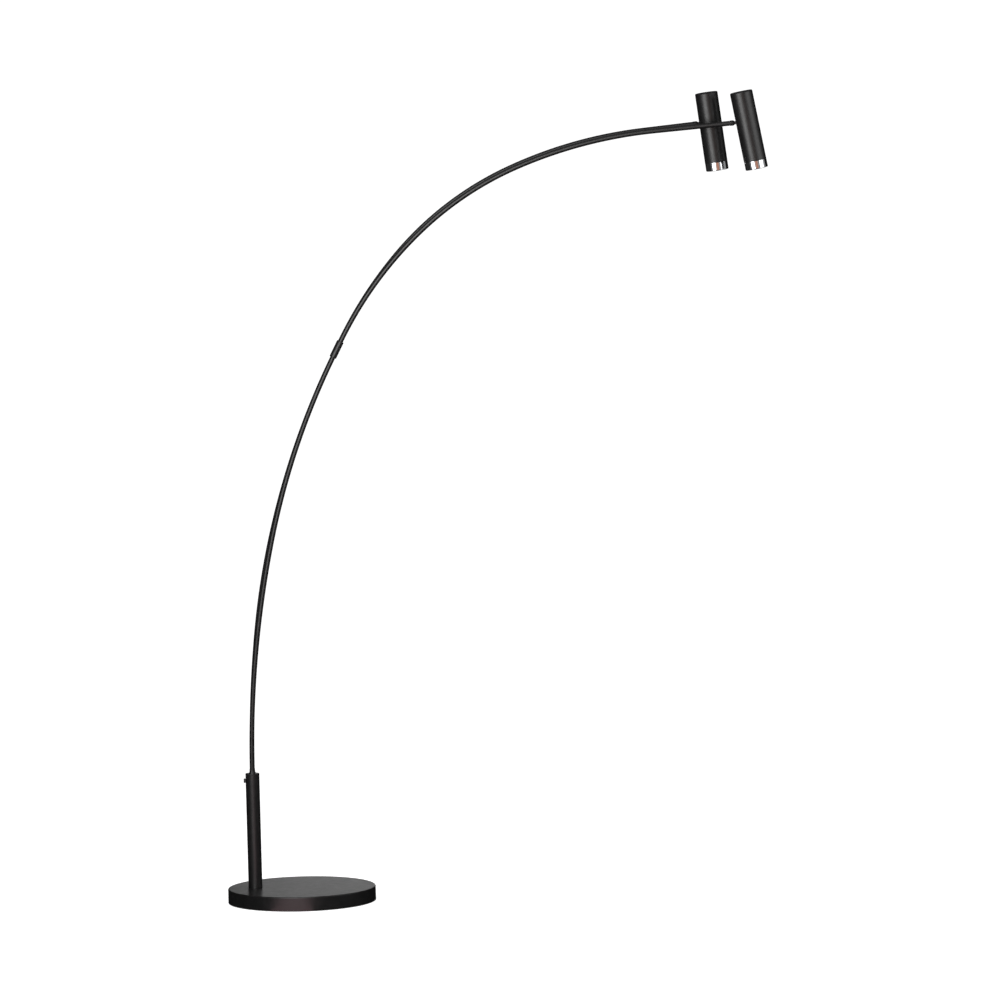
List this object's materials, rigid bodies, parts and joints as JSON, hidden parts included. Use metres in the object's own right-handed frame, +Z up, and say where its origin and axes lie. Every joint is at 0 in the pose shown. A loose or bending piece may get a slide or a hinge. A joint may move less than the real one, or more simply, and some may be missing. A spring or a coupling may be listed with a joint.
{
  "type": "floor lamp",
  "caption": "Bow-arm bridge floor lamp: weighted round base, short pole, side-by-side bent tube arms, swivelling and tilting cylinder spot heads with chrome mouth rings.",
  "frame": {"origin": "centre of the foot pad's underside, on the floor under the middle of the base disc", "axes": "+Z up, +X the way the arms reach, +Y away from the viewer"},
  "size_m": [1.3518, 0.36, 1.9523],
  "materials": {
    "black_powder_coat": "fine matt powder coat",
    "chrome_plate": "polished",
    "cast_weight": "as cast, painted",
    "black_rubber": "moulded",
    "turned_brass": "turned",
    "lead_sheath": "extruded",
    "white_nylon": "moulded",
    "black_nylon": "moulded",
    "steatite": "unglazed",
    "bulb_housing": "moulded",
    "bulb_lens": "frosted prisms",
    "zinc_plated_steel": "bright zinc"
  },
  "bodies": {
    "base": {"foot_pad": "black_rubber", "base_weight": "cast_weight", "base_cover": "black_powder_coat", "cord_grommet": "black_rubber", "pole_tube": "black_powder_coat", "pole_foot_plug": "zinc_plated_steel", "base_washer": "zinc_plated_steel", "pole_nipple": "zinc_plated_steel", "base_nut": "zinc_plated_steel", "clamp_insert": "turned_brass"},
    "clamp": {"clamp_knob": "black_powder_coat", "clamp_stud": "zinc_plated_steel"},
    "arms": {"swivel_plug": "black_powder_coat", "front_ferrule": "black_powder_coat", "front_lower_rod": "black_powder_coat", "front_coupler": "black_powder_coat", "front_spigot": "zinc_plated_steel", "front_upper_rod": "black_powder_coat", "front_swivel_stud": "zinc_plated_steel", "front_lead": "lead_sheath", "back_ferrule": "black_powder_coat", "back_lower_rod": "black_powder_coat", "back_coupler": "black_powder_coat", "back_spigot": "zinc_plated_steel", "back_upper_rod": "black_powder_coat", "back_swivel_stud": "zinc_plated_steel", "back_lead": "lead_sheath", "terminal_block": "white_nylon"},
    "front_knuckle_body": {"front_knuckle": "black_powder_coat", "front_knuckle_grub": "zinc_plated_steel"},
    "front_head_body": {"front_head_shell": "black_powder_coat", "front_trim_ring": "chrome_plate", "front_bulb_body": "bulb_housing", "front_bulb_lens": "bulb_lens", "front_lamp_holder": "steatite", "front_holder_plate": "zinc_plated_steel", "front_holder_screws": "zinc_plated_steel", "front_hinge_yoke": "zinc_plated_steel", "front_pivot_screw": "zinc_plated_steel", "front_pivot_nut": "zinc_plated_steel", "front_friction_washers": "black_nylon"},
    "back_knuckle_body": {"back_knuckle": "black_powder_coat", "back_knuckle_grub": "zinc_plated_steel"},
    "back_head_body": {"back_head_shell": "black_powder_coat", "back_trim_ring": "chrome_plate", "back_bulb_body": "bulb_housing", "back_bulb_lens": "bulb_lens", "back_lamp_holder": "steatite", "back_holder_plate": "zinc_plated_steel", "back_holder_screws": "zinc_plated_steel", "back_hinge_yoke": "zinc_plated_steel", "back_pivot_screw": "zinc_plated_steel", "back_pivot_nut": "zinc_plated_steel", "back_friction_washers": "black_nylon"}
  },
  "joints": [
    {"name": "arm_swivel", "type": "hinge", "parent": "base", "child": "arms", "pos_m": [-0.113, 0, 0.314], "axis": [0, 0, 1], "range_deg": [-170, 170]},
    {"name": "clamp_turn", "type": "hinge", "parent": "base", "child": "clamp", "pos_m": [-0.13, 0, 0.2995], "axis": [-1, 0, 0], "range_deg": [0, 360]},
    {"name": "front_swivel", "type": "hinge", "parent": "arms", "child": "front_knuckle_body", "pos_m": [1.10393, -0.03399, 1.87342], "axis": [0.9968, -0.0209, 0.0776], "range_deg": [-45, 45]},
    {"name": "front_tilt", "type": "hinge", "parent": "front_knuckle_body", "child": "front_head_body", "pos_m": [1.10393, -0.03399, 1.87342], "axis": [0.0209, 0.9998, 0], "range_deg": [-24, 36]},
    {"name": "back_swivel", "type": "hinge", "parent": "arms", "child": "back_knuckle_body", "pos_m": [1.01732, 0.03218, 1.87037], "axis": [0.9953, 0.0208, 0.0941], "range_deg": [-45, 45]},
    {"name": "back_tilt", "type": "hinge", "parent": "back_knuckle_body", "child": "back_head_body", "pos_m": [1.01732, 0.03218, 1.87037], "axis": [-0.0209, 0.9998, 0], "range_deg": [-28, 31]}
  ]
}
